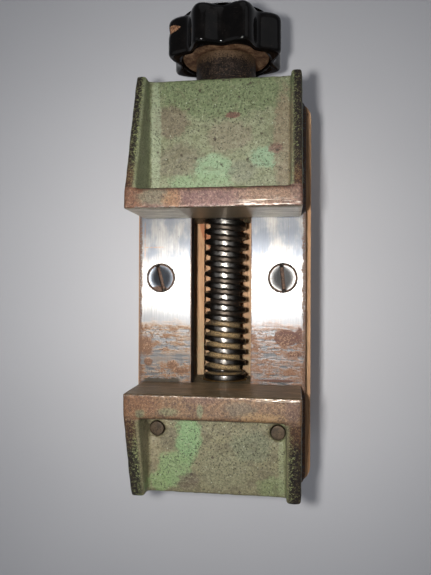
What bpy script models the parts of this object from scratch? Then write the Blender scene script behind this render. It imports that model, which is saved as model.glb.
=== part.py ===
"""Small woodworker's bench vise: a wooden body with two steel guide plates, a fixed jaw,
a sliding jaw and a left-hand spindle with a star knob.

Frame: metres, +Z up, +Y from the fixed jaw towards the knob, +X to the right of both.
The origin is the middle of the wooden body's underside. The vise stands open.
"""

import math

import bmesh
import bpy

MM = 0.001
TURN = 2 * math.pi
UP, ALONG, ACROSS = "Z", "Y", "X"

# Fits between neighbouring pieces.
REST_GAP = 0.3 * MM
SLIDE_GAP = 0.25 * MM

# Wooden body and its stepped groove.
BODY_WIDTH = 64 * MM
BODY_LENGTH = 138 * MM
BODY_CORNER = 6 * MM
BED_TOP = 64 * MM
PLATE_THICKNESS = 6 * MM
BODY_TOP = BED_TOP - PLATE_THICKNESS - REST_GAP
GROOVE_HALF = 17.5 * MM
GROOVE_FLOOR = BED_TOP - 22 * MM
TRENCH_HALF = 9.4 * MM
TRENCH_FLOOR = BED_TOP - 27 * MM

# Guide plates.
PLATE_INNER = 10.75 * MM
PLATE_OUTER = 30 * MM
PLATE_LENGTH = 137 * MM
PLATE_CORNER = 5 * MM

# Slotted countersunk wood screws through the plates.
PLATE_SCREW_X = 22 * MM
PLATE_SCREW_YS = {"rear": -60 * MM, "middle": 5 * MM, "front": 58 * MM}
PLATE_SCREW_TURNS = {
    "rear_left": 40,
    "rear_right": -65,
    "middle_left": 15,
    "middle_right": 6,
    "front_left": -20,
    "front_right": 75,
}
SCREW_HEAD = 5.0 * MM
SCREW_SHANK = 2.6 * MM
SCREW_CONE = 2.6 * MM
SCREW_LENGTH = 26 * MM
SLOT_WIDTH = 1.3 * MM
SLOT_DEPTH = 1.4 * MM

# Jaws.
JAW_HALF = 28.4 * MM
JAW_TOP = BED_TOP + 25 * MM
JAW_SOLE = BED_TOP + REST_GAP
JAW_OPENING = 59 * MM
GAP_MIDDLE_Y = -3 * MM
FIXED_FACE_Y = GAP_MIDDLE_Y - JAW_OPENING / 2
MOVING_FACE_Y = GAP_MIDDLE_Y + JAW_OPENING / 2
MOVING_JAW = {
    "length": 48 * MM,
    "rail": 6.7 * MM,
    "rib": 3.8 * MM,
    "rib_end_top": BED_TOP + 11.5 * MM,
    "panel_top": BED_TOP + 6 * MM,
}
FIXED_JAW = {
    "length": 36.3 * MM,
    "rail": 8.2 * MM,
    "rib": 5 * MM,
    "rib_end_top": BED_TOP + 16 * MM,
    "panel_top": BED_TOP + 10.5 * MM,
}

# Each jaw's tongue reaches down between the plates and spreads into a foot under them.
TONGUE_HALF = PLATE_INNER - SLIDE_GAP
FOOT_HALF = GROOVE_HALF - 2 * SLIDE_GAP
FOOT_TOP = BED_TOP - PLATE_THICKNESS - 2 * SLIDE_GAP
FOOT_BOTTOM = GROOVE_FLOOR + REST_GAP
TONGUE_SETBACK = 0.6 * MM
MOVING_TONGUE_LENGTH = 36 * MM
FIXED_TONGUE_LENGTH = 20 * MM

# Screws that hold the fixed jaw down from under the plates.
JAW_SCREW_X = 20.7 * MM
JAW_SCREW_Y = -47 * MM
JAW_SCREW_SHANK = 2.45 * MM
JAW_SCREW_HEAD = 4.4 * MM
JAW_SCREW_CONE = 2.2 * MM

# Spindle: trapezoidal 16 x 4 left-hand thread.
AXIS_Z = BED_TOP - 14 * MM
PITCH = 4 * MM
CREST_R = 8 * MM
ROOT_R = 5.8 * MM
THREAD_STEPS = 16
THREAD_FADE = 8
THREAD_START_Y = FIXED_FACE_Y + 2 * MM
THREAD_END_Y = 75 * MM
JOURNAL_R = 6 * MM
TAIL_R = 5.7 * MM
TAIL_END_Y = -68 * MM
NOSE_R = 5 * MM
NOSE_END_Y = 101 * MM

# Bearing at the fixed jaw and what keeps the spindle in it.
BUSH_R = 8.4 * MM
BUSH_FLANGE_R = 9.8 * MM
BUSH_FLANGE = 2 * MM
WASHER_R = 9.6 * MM
WASHER = 2 * MM
RETAINING_NUT_FLATS = 16 * MM
RETAINING_NUT = 6 * MM
SPLIT_PIN_R = 1 * MM

# Nut in the moving jaw.
NUT_R = 11 * MM
NUT_BORE = CREST_R + SLIDE_GAP
NUT_FLANGE = 4 * MM
NUT_EAR_X = 13.8 * MM
NUT_EAR_R = 3.4 * MM
NUT_SHELF = 12 * MM
NUT_SCREW_R = 1.7 * MM
NUT_SCREW_HEAD = 3 * MM
NUT_SCREW_HEAD_HEIGHT = 2 * MM
NUT_SCREW_LENGTH = 14 * MM

# Hub, knob and their fastenings.
HUB_START_Y = 75.6 * MM
HUB_R = 11.4 * MM
HUB_PIN_R = 1.5 * MM
KNOB_FACE_Y = 87.2 * MM
KNOB_LENGTH = 15 * MM
KNOB_LOBES = 8
KNOB_LOBE_TURN = 111
KNOB_R = 22.4 * MM
KNOB_FLUTE = 3.8 * MM
KNOB_RECESS_R = 16.8 * MM
KNOB_RECESS = 3.7 * MM
KNOB_BORE = 9.3 * MM
KNOB_BUSH_FLANGE_R = 16.5 * MM
KNOB_BUSH_FLANGE = 2 * MM
KNOB_BUSH_R = 9 * MM
KNOB_BUSH_LENGTH = 5.5 * MM
KNOB_NUT_FLATS = 13 * MM
KNOB_NUT = 4.5 * MM

FINE, COARSE = 32, 20

# Colour, roughness and metallic value of each finish.
FINISHES = {
    "wood": ((0.45, 0.28, 0.16), 0.7, 0.0),
    "ground_steel": ((0.62, 0.61, 0.58), 0.3, 1.0),
    "screw_steel": ((0.42, 0.40, 0.37), 0.4, 1.0),
    "green_paint": ((0.22, 0.32, 0.15), 0.6, 0.0),
    "spindle_steel": ((0.18, 0.17, 0.16), 0.3, 1.0),
    "bronze": ((0.45, 0.30, 0.13), 0.4, 1.0),
    "dark_steel": ((0.07, 0.06, 0.055), 0.6, 0.8),
    "rusty_steel": ((0.20, 0.12, 0.08), 0.8, 0.3),
    "bakelite": ((0.012, 0.011, 0.010), 0.15, 0.0),
}


# ---- materials and objects ----


def finish_material(node, finish):
    colour, roughness, metallic = FINISHES[finish]
    material = bpy.data.materials.new(node)
    material.use_nodes = True
    shader = material.node_tree.nodes["Principled BSDF"]
    shader.inputs["Base Color"].default_value = (*colour, 1)
    shader.inputs["Roughness"].default_value = roughness
    shader.inputs["Metallic"].default_value = metallic
    material.diffuse_color = (*colour, 1)
    return material


def to_object(name, bm, finish=None):
    """Turn a bmesh into a linked object with outward faces."""
    bmesh.ops.recalc_face_normals(bm, faces=bm.faces)
    mesh = bpy.data.meshes.new(name)
    bm.to_mesh(mesh)
    bm.free()
    mesh.shade_smooth()
    mesh.set_sharp_from_angle(angle=math.radians(35))
    thing = bpy.data.objects.new(name, mesh)
    bpy.context.collection.objects.link(thing)
    if finish:
        mesh.materials.append(finish_material(name, finish))
    return thing


def combine(target, tool, operation):
    """Apply one exact Boolean to the target and delete the tool."""
    modifier = target.modifiers.new(operation.title(), "BOOLEAN")
    modifier.object = tool
    modifier.operation = operation
    modifier.solver = "EXACT"
    graph = bpy.context.evaluated_depsgraph_get()
    result = bpy.data.meshes.new_from_object(target.evaluated_get(graph))
    target.modifiers.clear()
    old = target.data
    target.data = result
    bpy.data.meshes.remove(old)
    bpy.data.objects.remove(tool)
    return target


def cut(target, *tools):
    for tool in tools:
        combine(target, tool, "DIFFERENCE")
    return target


def join(target, *tools):
    for tool in tools:
        combine(target, tool, "UNION")
    return target


# ---- shapes ----


def placed(axis, along, first, second):
    """The point at a distance along an axis, with the other two coordinates in X, Y, Z order."""
    if axis == ACROSS:
        return (along, first, second)
    if axis == ALONG:
        return (first, along, second)
    return (first, second, along)


def skin(bm, rings, closed=False):
    """Join rings of equal length with quads, then close the ends or the loop."""
    pairs = list(zip(rings, rings[1:]))
    if closed:
        pairs.append((rings[-1], rings[0]))
    for low, high in pairs:
        count = len(low)
        for i in range(count):
            j = (i + 1) % count
            bm.faces.new((low[i], low[j], high[j], high[i]))
    if not closed:
        bm.faces.new(rings[0])
        bm.faces.new(rings[-1])


def prism(name, outline, axis, low, high, finish=None):
    """An outline of (first, second) points carried along an axis from low to high."""
    bm = bmesh.new()
    rings = [[bm.verts.new(placed(axis, d, *point)) for point in outline] for d in (low, high)]
    skin(bm, rings)
    return to_object(name, bm, finish)


def block(name, x, y, z, finish=None):
    outline = [(x[0], y[0]), (x[1], y[0]), (x[1], y[1]), (x[0], y[1])]
    return prism(name, outline, UP, z[0], z[1], finish)


def circle(radius, steps, centre=(0, 0), turn=0.0):
    points = []
    for i in range(steps):
        angle = TURN * i / steps + turn
        points.append((centre[0] + radius * math.cos(angle), centre[1] + radius * math.sin(angle)))
    return points


def turned(name, profile, axis, centre, steps=COARSE, finish=None, hollow=False):
    """A profile of (distance along the axis, radius) points turned about the axis.

    A hollow profile is a loop whose last point joins the first.
    """
    bm = bmesh.new()
    rings = []
    for along, radius in profile:
        points = circle(radius, steps, centre)
        rings.append([bm.verts.new(placed(axis, along, *point)) for point in points])
    skin(bm, rings, closed=hollow)
    return to_object(name, bm, finish)


def rod(name, radius, axis, low, high, centre, steps=COARSE, finish=None):
    return turned(name, [(low, radius), (high, radius)], axis, centre, steps, finish)


def tube(name, bore, radius, low, high, centre, finish, steps=COARSE):
    loop = [(low, bore), (low, radius), (high, radius), (high, bore)]
    return turned(name, loop, ALONG, centre, steps, finish, hollow=True)


def hexagon(name, flats, bore, low, high, centre, finish):
    nut = prism(name, circle(flats / math.sqrt(3), 6, centre), ALONG, low, high, finish)
    return cut(nut, rod("bore", bore, ALONG, low - MM, high + MM, centre))


def rounded_rectangle(x, y, rounded, radius, steps=5):
    """Corners run anticlockwise from (low, low); rounded says which of the four are round."""
    corners = [(x[0], y[0], 180), (x[1], y[0], 270), (x[1], y[1], 0), (x[0], y[1], 90)]
    points = []
    for (px, py, start), is_round in zip(corners, rounded):
        if not is_round:
            points.append((px, py))
            continue
        cx = px + radius * (1 if px == x[0] else -1)
        cy = py + radius * (1 if py == y[0] else -1)
        for i in range(steps + 1):
            angle = math.radians(start + 90 * i / steps)
            points.append((cx + radius * math.cos(angle), cy + radius * math.sin(angle)))
    return points


# ---- screws ----


def countersunk_profile(top, head, shank, cone, length, spare=0.0):
    """Head face, cone and shank of a countersunk screw, from its face downwards.

    spare widens every radius, for the hole that the screw goes into.
    """
    return [
        (top + (MM if spare else 0), head + spare),
        (top - 0.3 * MM, head + spare),
        (top - 0.3 * MM - cone, shank + spare),
        (top - length - (MM if spare else 0), shank + spare),
    ]


def wood_screw_hole(centre):
    profile = countersunk_profile(
        BED_TOP, SCREW_HEAD, SCREW_SHANK, SCREW_CONE, SCREW_LENGTH, spare=REST_GAP
    )
    return turned("hole", profile, UP, centre)


def make_wood_screw(name, centre, slot_turn):
    profile = countersunk_profile(BED_TOP, SCREW_HEAD, SCREW_SHANK, SCREW_CONE, SCREW_LENGTH - 3 * MM)
    profile.append((BED_TOP - SCREW_LENGTH, 0.5 * MM))
    screw = turned(name, profile, UP, centre, finish="screw_steel")
    half = SLOT_WIDTH / 2
    reach = SCREW_HEAD + MM
    angle = math.radians(slot_turn)
    along = (-math.sin(angle), math.cos(angle))
    outline = []
    for side, end in ((-1, -1), (1, -1), (1, 1), (-1, 1)):
        x = centre[0] + side * half * along[1] + end * reach * along[0]
        y = centre[1] - side * half * along[0] + end * reach * along[1]
        outline.append((x, y))
    slot = prism("slot", outline, UP, BED_TOP - SLOT_DEPTH, BED_TOP + MM)
    return cut(screw, slot)


def jaw_screw_profile(spare=0.0):
    """From the head's face, flush with the plate's underside, up to the tip."""
    underside = BED_TOP - PLATE_THICKNESS
    tip = FIXED_JAW["panel_top"]
    extra = MM if spare else 0
    return [
        (underside - extra, JAW_SCREW_HEAD + spare),
        (underside + 0.3 * MM, JAW_SCREW_HEAD + spare),
        (underside + 0.3 * MM + JAW_SCREW_CONE, JAW_SCREW_SHANK + spare),
        (tip + extra, JAW_SCREW_SHANK + spare),
    ]


def jaw_screw_hole(side):
    return turned("hole", jaw_screw_profile(0.2 * MM), UP, (side * JAW_SCREW_X, JAW_SCREW_Y))


def make_jaw_screw(name, side):
    centre = (side * JAW_SCREW_X, JAW_SCREW_Y)
    return turned(name, jaw_screw_profile(), UP, centre, finish="dark_steel")


# ---- the bed ----


def make_body():
    half, end = BODY_WIDTH / 2, BODY_LENGTH / 2
    outline = rounded_rectangle((-half, half), (-end, end), (True,) * 4, BODY_CORNER)
    body = prism("wooden_body", outline, UP, 0, BODY_TOP, "wood")
    over = BODY_TOP + MM
    section = [
        (-GROOVE_HALF, over),
        (-GROOVE_HALF, GROOVE_FLOOR),
        (-TRENCH_HALF, GROOVE_FLOOR),
        (-TRENCH_HALF, TRENCH_FLOOR),
        (TRENCH_HALF, TRENCH_FLOOR),
        (TRENCH_HALF, GROOVE_FLOOR),
        (GROOVE_HALF, GROOVE_FLOOR),
        (GROOVE_HALF, over),
    ]
    cut(body, prism("groove", section, ALONG, -end - MM, end + MM))
    for side in (-1, 1):
        for y in PLATE_SCREW_YS.values():
            cut(body, wood_screw_hole((side * PLATE_SCREW_X, y)))
    return body


def make_guide_plate(name, side):
    x = sorted((side * PLATE_INNER, side * PLATE_OUTER))
    end = PLATE_LENGTH / 2
    rounded = (side < 0, side > 0, side > 0, side < 0)
    outline = rounded_rectangle(x, (-end, end), rounded, PLATE_CORNER)
    plate = prism(name, outline, UP, BED_TOP - PLATE_THICKNESS, BED_TOP, "ground_steel")
    for y in PLATE_SCREW_YS.values():
        cut(plate, wood_screw_hole((side * PLATE_SCREW_X, y)))
    return cut(plate, jaw_screw_hole(side))


# ---- the jaws ----


def jaw_blank(name, face_y, back, shape):
    """A jaw without its tongue: a tall rail, two ribs that fall away behind it, a low panel.

    back is the sign of Y from the gripping face into the jaw.
    """
    rail_y = face_y + back * shape["rail"]
    end_y = face_y + back * shape["length"]
    side_view = [
        (face_y, JAW_SOLE),
        (face_y, JAW_TOP),
        (rail_y, JAW_TOP),
        (end_y, shape["rib_end_top"]),
        (end_y, JAW_SOLE),
    ]
    jaw = prism(name, side_view, ACROSS, -JAW_HALF, JAW_HALF, "green_paint")
    inner = JAW_HALF - shape["rib"]
    y = sorted((rail_y, end_y + back * MM))
    return cut(jaw, block("recess", (-inner, inner), y, (shape["panel_top"], JAW_TOP + MM)))


def add_tongue(jaw, face_y, back, length):
    y = sorted((face_y + back * TONGUE_SETBACK, face_y + back * (TONGUE_SETBACK + length)))
    neck = block("neck", (-TONGUE_HALF, TONGUE_HALF), y, (FOOT_BOTTOM + MM, JAW_SOLE + MM))
    foot = block("foot", (-FOOT_HALF, FOOT_HALF), y, (FOOT_BOTTOM, FOOT_TOP))
    return join(jaw, neck, foot)


def make_fixed_jaw():
    jaw = jaw_blank("fixed_jaw", FIXED_FACE_Y, -1, FIXED_JAW)
    add_tongue(jaw, FIXED_FACE_Y, -1, FIXED_TONGUE_LENGTH)
    front = FIXED_FACE_Y + MM
    back = FIXED_FACE_Y - TONGUE_SETBACK - FIXED_TONGUE_LENGTH
    centre = (0, AXIS_Z)
    cut(jaw, rod("bush_seat", BUSH_R + 0.1 * MM, ALONG, back - MM, front, centre, FINE))
    return cut(jaw, jaw_screw_hole(-1), jaw_screw_hole(1))


def make_moving_jaw():
    jaw = jaw_blank("moving_jaw", MOVING_FACE_Y, 1, MOVING_JAW)
    add_tongue(jaw, MOVING_FACE_Y, 1, MOVING_TONGUE_LENGTH)
    front = MOVING_FACE_Y + TONGUE_SETBACK
    shelf = front + NUT_SHELF
    back = front + MOVING_TONGUE_LENGTH
    centre = (0, AXIS_Z)
    cut(jaw, rod("way", CREST_R + 0.7 * MM, ALONG, front - MM, shelf + MM, centre, FINE))
    cut(jaw, rod("nut_seat", NUT_R + 0.2 * MM, ALONG, shelf, back + MM, centre, FINE))
    for side in (-1, 1):
        hole_centre = (side * NUT_EAR_X, AXIS_Z)
        low = back - NUT_SCREW_LENGTH
        cut(jaw, rod("hole", NUT_SCREW_R + 0.2 * MM, ALONG, low, back + MM, hole_centre, 12))
    return jaw


# ---- the nut ----


def nut_back_y():
    return MOVING_FACE_Y + TONGUE_SETBACK + MOVING_TONGUE_LENGTH + REST_GAP


def make_spindle_nut():
    start = MOVING_FACE_Y + TONGUE_SETBACK + NUT_SHELF + REST_GAP
    back = nut_back_y()
    end = back + NUT_FLANGE
    centre = (0, AXIS_Z)
    nut = rod("spindle_nut", NUT_R, ALONG, start, end, centre, FINE, "bronze")
    ears = block("ears", (-NUT_EAR_X, NUT_EAR_X), (back, end), (AXIS_Z - NUT_EAR_R, AXIS_Z + NUT_EAR_R))
    join(nut, ears)
    for side in (-1, 1):
        ear_centre = (side * NUT_EAR_X, AXIS_Z)
        join(nut, rod("ear", NUT_EAR_R, ALONG, back, end, ear_centre))
    cut(nut, rod("bore", NUT_BORE, ALONG, start - MM, end + MM, centre, FINE))
    for side in (-1, 1):
        ear_centre = (side * NUT_EAR_X, AXIS_Z)
        cut(nut, rod("hole", NUT_SCREW_R + 0.3 * MM, ALONG, back - MM, end + MM, ear_centre, 12))
    return nut


def make_nut_screw(name, side):
    head = nut_back_y() + NUT_FLANGE + REST_GAP / 2
    profile = [
        (head - NUT_SCREW_LENGTH, NUT_SCREW_R),
        (head, NUT_SCREW_R),
        (head, NUT_SCREW_HEAD),
        (head + NUT_SCREW_HEAD_HEIGHT, NUT_SCREW_HEAD),
    ]
    return turned(name, profile, ALONG, (side * NUT_EAR_X, AXIS_Z), 16, "dark_steel")


# ---- the spindle ----


def thread_rings(bm):
    """The left-hand thread as one helical strip, and the plain rings at its two ends.

    A strip point is (step, lane): steps go round the spindle, lanes go along it within
    one pitch, and lane 4 of a step is lane 0 one turn later.
    """
    lanes = [(0.0, 0), (1.35 * MM, 0), (2.0 * MM, 1), (3.35 * MM, 1)]
    pitches = int((THREAD_END_Y - THREAD_START_Y) / PITCH) - 2
    last = pitches * THREAD_STEPS

    def height(step):
        return max(0.0, min(1.0, step / THREAD_FADE, (last - step) / THREAD_FADE))

    def ring_point(step, y, radius):
        angle = -TURN * step / THREAD_STEPS
        return bm.verts.new((radius * math.sin(angle), y, AXIS_Z + radius * math.cos(angle)))

    points = {}
    start = THREAD_START_Y + 0.5 * MM
    for step in range(last + THREAD_STEPS + 1):
        for lane, (offset, is_crest) in enumerate(lanes):
            if step > last and lane:
                continue
            radius = ROOT_R + (CREST_R - ROOT_R) * is_crest * height(step)
            y = start + PITCH * step / THREAD_STEPS + offset
            points[step, lane] = ring_point(step, y, radius)

    def at(step, lane):
        return points[step + THREAD_STEPS, 0] if lane == 4 else points[step, lane]

    for step in range(last):
        for lane in range(4):
            corners = (at(step, lane), at(step + 1, lane), at(step + 1, lane + 1), at(step, lane + 1))
            bm.faces.new(corners)

    low = [ring_point(i, THREAD_START_Y, ROOT_R) for i in range(THREAD_STEPS)]
    high = [ring_point(i, THREAD_END_Y, ROOT_R) for i in range(THREAD_STEPS)]
    low_edge = [at(step, 0) for step in range(THREAD_STEPS + 1)]
    high_edge = [at(last + step, 0) for step in range(THREAD_STEPS + 1)]
    low_step = [at(0, lane) for lane in (1, 2, 3)]
    high_step = [at(last, lane) for lane in (1, 2, 3)]
    last_column = THREAD_STEPS - 1
    for i in range(last_column):
        bm.faces.new((low[i], low[i + 1], low_edge[i + 1], low_edge[i]))
    for i in range(1, THREAD_STEPS):
        j = (i + 1) % THREAD_STEPS
        bm.faces.new((high[i], high[j], high_edge[i + 1], high_edge[i]))
    bm.faces.new((low[last_column], low[0], low_edge[0], *low_step, low_edge[-1], low_edge[last_column]))
    bm.faces.new((high[0], high[1], high_edge[1], high_edge[0], *high_step, high_edge[-1]))
    return low, high


def make_spindle():
    bm = bmesh.new()
    low, high = thread_rings(bm)

    def carry(ring, profile):
        """Go on from a ring through plain turned rings, and close the last one."""
        for y, radius in profile:
            following = []
            for i in range(THREAD_STEPS):
                angle = -TURN * i / THREAD_STEPS
                place = (radius * math.sin(angle), y, AXIS_Z + radius * math.cos(angle))
                following.append(bm.verts.new(place))
            for i in range(THREAD_STEPS):
                j = (i + 1) % THREAD_STEPS
                bm.faces.new((ring[i], ring[j], following[j], following[i]))
            ring = following
        bm.faces.new(ring)

    shoulder = FIXED_FACE_Y - TONGUE_SETBACK + REST_GAP
    tail_start = bearing_end_y() - REST_GAP
    carry(
        low,
        [
            (THREAD_START_Y - 0.4 * MM, CREST_R),
            (shoulder, CREST_R),
            (shoulder, JOURNAL_R),
            (tail_start, JOURNAL_R),
            (tail_start, TAIL_R),
            (TAIL_END_Y + MM, TAIL_R),
            (TAIL_END_Y, TAIL_R - MM),
        ],
    )
    carry(
        high,
        [
            (KNOB_FACE_Y, ROOT_R),
            (KNOB_FACE_Y, NOSE_R),
            (NOSE_END_Y - MM, NOSE_R),
            (NOSE_END_Y, NOSE_R - MM),
        ],
    )
    spindle = to_object("spindle", bm, "spindle_steel")
    cut(spindle, cross_pin("hole", SPLIT_PIN_R + 0.2 * MM, split_pin_y(), ROOT_R + MM))
    return cut(spindle, cross_pin("hole", HUB_PIN_R + 0.2 * MM, hub_pin_y(), ROOT_R + MM))


def cross_pin(name, radius, y, reach, finish=None):
    """A pin across the spindle, through its axis."""
    return rod(name, radius, ACROSS, -reach, reach, (y, AXIS_Z), 12, finish)


def bearing_end_y():
    """The fixed tongue's far face, past the bush's flange."""
    return FIXED_FACE_Y - TONGUE_SETBACK - FIXED_TONGUE_LENGTH - REST_GAP - BUSH_FLANGE


def washer_y():
    return bearing_end_y() - REST_GAP - WASHER


def retaining_nut_y():
    return washer_y() - REST_GAP - RETAINING_NUT


def split_pin_y():
    return retaining_nut_y() - SPLIT_PIN_R - REST_GAP


def make_bearing_bush():
    centre = (0, AXIS_Z)
    tongue_back = FIXED_FACE_Y - TONGUE_SETBACK - FIXED_TONGUE_LENGTH
    front = FIXED_FACE_Y - TONGUE_SETBACK
    flange = tongue_back - REST_GAP
    end = bearing_end_y()
    bore = JOURNAL_R + 0.2 * MM
    loop = [
        (front, bore),
        (front, BUSH_R - 0.1 * MM),
        (flange, BUSH_R - 0.1 * MM),
        (flange, BUSH_FLANGE_R),
        (end, BUSH_FLANGE_R),
        (end, bore),
    ]
    return turned("bearing_bush", loop, ALONG, centre, FINE, "bronze", hollow=True)


def make_retainers():
    centre = (0, AXIS_Z)
    bore = TAIL_R + 0.25 * MM
    start = washer_y()
    tube("thrust_washer", bore, WASHER_R, start, start + WASHER, centre, "screw_steel", FINE)
    start = retaining_nut_y()
    hexagon("retaining_nut", RETAINING_NUT_FLATS, bore, start, start + RETAINING_NUT, centre, "dark_steel")
    cross_pin("split_pin", SPLIT_PIN_R, split_pin_y(), ROOT_R + 2.4 * MM, "screw_steel")


# ---- hub and knob ----


def hub_end_y():
    return KNOB_FACE_Y + KNOB_RECESS - KNOB_BUSH_FLANGE - 2 * REST_GAP


def hub_pin_y():
    return (HUB_START_Y + hub_end_y()) / 2


def make_hub():
    bore = ROOT_R + 0.25 * MM
    hub = tube("hub_sleeve", bore, HUB_R, HUB_START_Y, hub_end_y(), (0, AXIS_Z), "dark_steel", FINE)
    cut(hub, cross_pin("hole", HUB_PIN_R + 0.2 * MM, hub_pin_y(), HUB_R + MM))
    cross_pin("hub_pin", HUB_PIN_R, hub_pin_y(), HUB_R - 0.4 * MM, "dark_steel")


def lobed(scale, y, steps):
    """A ring of the knob's outline: lobes with shallow flutes between them.

    One lobe stands at KNOB_LOBE_TURN degrees from +X, so a flute lies on top.
    """
    points = []
    for i in range(steps):
        angle = TURN * i / steps
        wave = 0.5 + 0.5 * math.cos(KNOB_LOBES * (angle - math.radians(KNOB_LOBE_TURN)))
        radius = scale * (KNOB_R - KNOB_FLUTE * (1 - wave))
        points.append((radius * math.cos(angle), y, AXIS_Z + radius * math.sin(angle)))
    return points


def make_star_knob():
    steps = 8 * KNOB_LOBES
    end = KNOB_FACE_Y + KNOB_LENGTH
    seat = KNOB_FACE_Y + KNOB_RECESS
    centre = (0, AXIS_Z)

    def plain(radius, y):
        return [(x, y, z) for x, z in circle(radius, steps, centre)]

    loops = [
        plain(KNOB_BORE, seat),
        plain(KNOB_RECESS_R, seat),
        plain(KNOB_RECESS_R, KNOB_FACE_Y + 0.8 * MM),
        lobed(0.955, KNOB_FACE_Y, steps),
        lobed(1.0, KNOB_FACE_Y + 1.5 * MM, steps),
        lobed(1.0, end - 3 * MM, steps),
        lobed(0.92, end - 1.2 * MM, steps),
        plain(KNOB_R * 0.6, end),
        plain(KNOB_BORE, end),
    ]
    bm = bmesh.new()
    skin(bm, [[bm.verts.new(point) for point in loop] for loop in loops], closed=True)
    return to_object("star_knob", bm, "bakelite")


def make_knob_bush():
    seat = KNOB_FACE_Y + KNOB_RECESS - REST_GAP
    bore = NOSE_R + 0.25 * MM
    loop = [
        (seat - KNOB_BUSH_FLANGE, bore),
        (seat - KNOB_BUSH_FLANGE, KNOB_BUSH_FLANGE_R),
        (seat, KNOB_BUSH_FLANGE_R),
        (seat, KNOB_BUSH_R),
        (seat + KNOB_BUSH_LENGTH, KNOB_BUSH_R),
        (seat + KNOB_BUSH_LENGTH, bore),
    ]
    turned("knob_bush", loop, ALONG, (0, AXIS_Z), FINE, "rusty_steel", hollow=True)
    low = seat + KNOB_BUSH_LENGTH + REST_GAP
    hexagon("knob_nut", KNOB_NUT_FLATS, bore, low, low + KNOB_NUT, (0, AXIS_Z), "dark_steel")


# ---- joints ----


def gather(empty_name, location, node_names):
    """Parent nodes to an empty on their joint's axis without moving them."""
    empty = bpy.data.objects.new(empty_name, None)
    empty.location = location
    empty.empty_display_size = 10 * MM
    bpy.context.collection.objects.link(empty)
    bpy.context.view_layer.update()
    for name in node_names:
        node = bpy.data.objects[name]
        node.parent = empty
        node.matrix_parent_inverse = empty.matrix_world.inverted()


def main():
    for thing in list(bpy.data.objects):
        bpy.data.objects.remove(thing)
    make_body()
    sides = {"left": -1, "right": 1}
    for side_name, side in sides.items():
        make_guide_plate(f"guide_plate_{side_name}", side)
        make_jaw_screw(f"fixed_jaw_screw_{side_name}", side)
        make_nut_screw(f"nut_screw_{side_name}", side)
        for place, y in PLATE_SCREW_YS.items():
            where = f"{place}_{side_name}"
            centre = (side * PLATE_SCREW_X, y)
            make_wood_screw(f"plate_screw_{where}", centre, PLATE_SCREW_TURNS[where])
    make_fixed_jaw()
    make_bearing_bush()
    make_moving_jaw()
    make_spindle_nut()
    make_spindle()
    make_retainers()
    make_hub()
    make_star_knob()
    make_knob_bush()
    gather(
        "spindle_axis",
        (0, FIXED_FACE_Y, AXIS_Z),
        (
            "spindle",
            "thrust_washer",
            "retaining_nut",
            "split_pin",
            "hub_sleeve",
            "hub_pin",
            "star_knob",
            "knob_bush",
            "knob_nut",
        ),
    )
    gather(
        "moving_jaw_slide",
        (0, MOVING_FACE_Y, BED_TOP),
        ("moving_jaw", "spindle_nut", "nut_screw_left", "nut_screw_right"),
    )


main()
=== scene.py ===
import math

import bmesh
import bpy
import numpy as np
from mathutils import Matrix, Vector, noise


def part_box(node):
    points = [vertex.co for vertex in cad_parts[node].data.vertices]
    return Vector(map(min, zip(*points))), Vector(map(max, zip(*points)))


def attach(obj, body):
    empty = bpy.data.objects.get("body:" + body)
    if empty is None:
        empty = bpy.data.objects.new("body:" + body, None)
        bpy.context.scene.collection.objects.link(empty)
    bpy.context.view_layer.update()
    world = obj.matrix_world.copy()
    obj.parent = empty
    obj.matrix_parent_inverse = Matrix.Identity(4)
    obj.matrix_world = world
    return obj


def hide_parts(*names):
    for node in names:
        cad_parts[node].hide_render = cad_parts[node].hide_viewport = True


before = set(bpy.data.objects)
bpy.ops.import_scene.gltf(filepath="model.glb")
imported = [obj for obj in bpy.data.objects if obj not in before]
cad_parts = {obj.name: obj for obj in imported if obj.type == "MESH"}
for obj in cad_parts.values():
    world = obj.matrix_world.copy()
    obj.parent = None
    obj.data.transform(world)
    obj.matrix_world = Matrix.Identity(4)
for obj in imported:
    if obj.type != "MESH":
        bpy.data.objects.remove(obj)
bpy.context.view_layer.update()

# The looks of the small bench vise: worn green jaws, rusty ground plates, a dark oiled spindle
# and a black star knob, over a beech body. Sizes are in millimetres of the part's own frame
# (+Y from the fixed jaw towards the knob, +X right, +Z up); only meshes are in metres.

MM = 0.001
TURN = 2 * math.pi


# ---- places read from the frame, in millimetres ----


def box_mm(node):
    low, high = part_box(node)
    return low / MM, high / MM


BED_TOP = box_mm("guide_plate_left")[1].z
WOOD_END = box_mm("wooden_body")[1].y
PLATE_LOW = box_mm("guide_plate_left")[0].z
PLATE_INNER = box_mm("guide_plate_right")[0].x
PLATE_OUTER = box_mm("guide_plate_right")[1].x
JAW_HALF = box_mm("moving_jaw")[1].x
JAW_TOP = box_mm("moving_jaw")[1].z
MOVING_FACE = box_mm("moving_jaw")[0].y
FIXED_FACE = box_mm("fixed_jaw")[1].y
SPINDLE_LOW, SPINDLE_HIGH = box_mm("spindle")
AXIS_Z = (SPINDLE_LOW.z + SPINDLE_HIGH.z) / 2
CREST_R = SPINDLE_HIGH.x
HUB_LOW, HUB_HIGH = box_mm("hub_sleeve")
KNOB_LOW, KNOB_HIGH = box_mm("star_knob")
RING_LOW, RING_HIGH = box_mm("knob_bush")

# Each jaw as it is seen from its gripping face: back is the sign of Y into the jaw.
MOVING = {"node": "moving_jaw", "face": MOVING_FACE, "back": 1, "rail": 6.7, "rib": 3.8}
FIXED = {"node": "fixed_jaw", "face": FIXED_FACE, "back": -1, "rail": 8.2, "rib": 5.0}

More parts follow.
